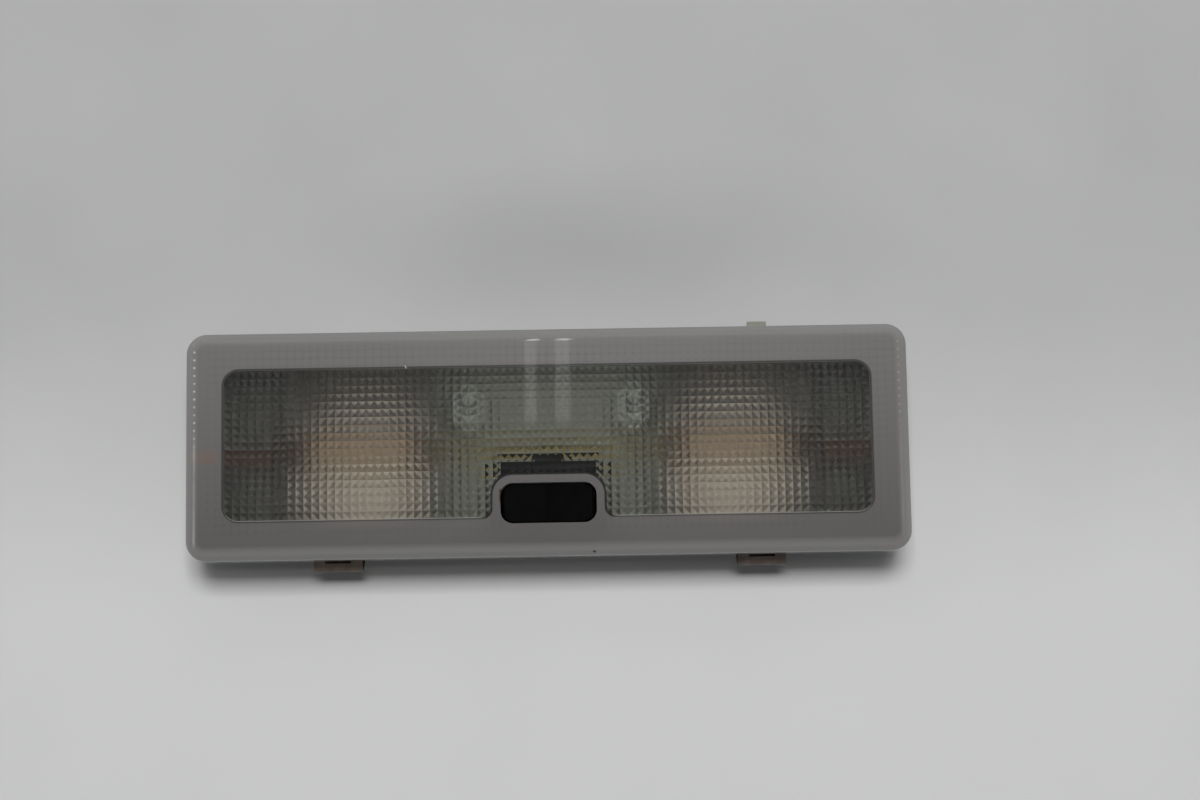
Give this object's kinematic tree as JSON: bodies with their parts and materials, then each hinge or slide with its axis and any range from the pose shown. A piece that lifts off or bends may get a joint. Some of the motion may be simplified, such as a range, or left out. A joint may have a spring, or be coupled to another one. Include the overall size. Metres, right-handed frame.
{
  "type": "car dome light",
  "caption": "Oblong interior light with prismatic lens, festoon bulbs in reflectors, rocker switch and spring clips for a headliner cut-out.",
  "frame": {"origin": "centre of the plane where the lens rim meets the headliner", "axes": "+Z out of the lens into the cabin, +X along the light, +Y across it towards the locating tab"},
  "size_m": [0.192, 0.0659, 0.031],
  "materials": {
    "clear_lens": "polished window, frosted border",
    "housing_plastic": "fine moulded grain",
    "reflector_metal": "satin",
    "bulb_glass": "clear",
    "cap_metal": "dull",
    "filament_metal": "drawn",
    "strip_brass": "rolled",
    "strip_copper": "tarnished",
    "switch_plastic": "satin",
    "rocker_plastic": "satin",
    "spring_steel": "drawn",
    "clip_steel": "dark brown oiled spring steel",
    "stud_nylon": "satin"
  },
  "bodies": {
    "light": {"lens": "clear_lens", "housing": "housing_plastic", "reflector_left": "reflector_metal", "reflector_right": "reflector_metal", "bulb_glass_left": "bulb_glass", "bulb_glass_right": "bulb_glass", "bulb_caps_left": "cap_metal", "bulb_caps_right": "cap_metal", "filament_left": "filament_metal", "filament_right": "filament_metal", "feed_strip": "strip_brass", "earth_strip_left": "strip_copper", "earth_strip_right": "strip_copper", "switch_body": "switch_plastic", "door_contact": "strip_brass", "off_contact": "strip_brass", "on_contact": "strip_brass", "clip_left": "clip_steel", "clip_right": "clip_steel", "lens_stud_left": "stud_nylon", "lens_stud_right": "stud_nylon", "terminal_supply": "strip_brass", "terminal_door": "strip_brass", "terminal_earth": "strip_brass"},
    "switch_rocker": {"rocker": "rocker_plastic", "contact_plunger": "strip_brass", "plunger_spring": "spring_steel"}
  },
  "joints": [
    {"name": "rocker_tilt", "type": "hinge", "parent": "light", "child": "switch_rocker", "pos_m": [0, -0.0163, 0.0055], "axis": [0, 1, 0], "range_deg": [-8, 8]}
  ]
}
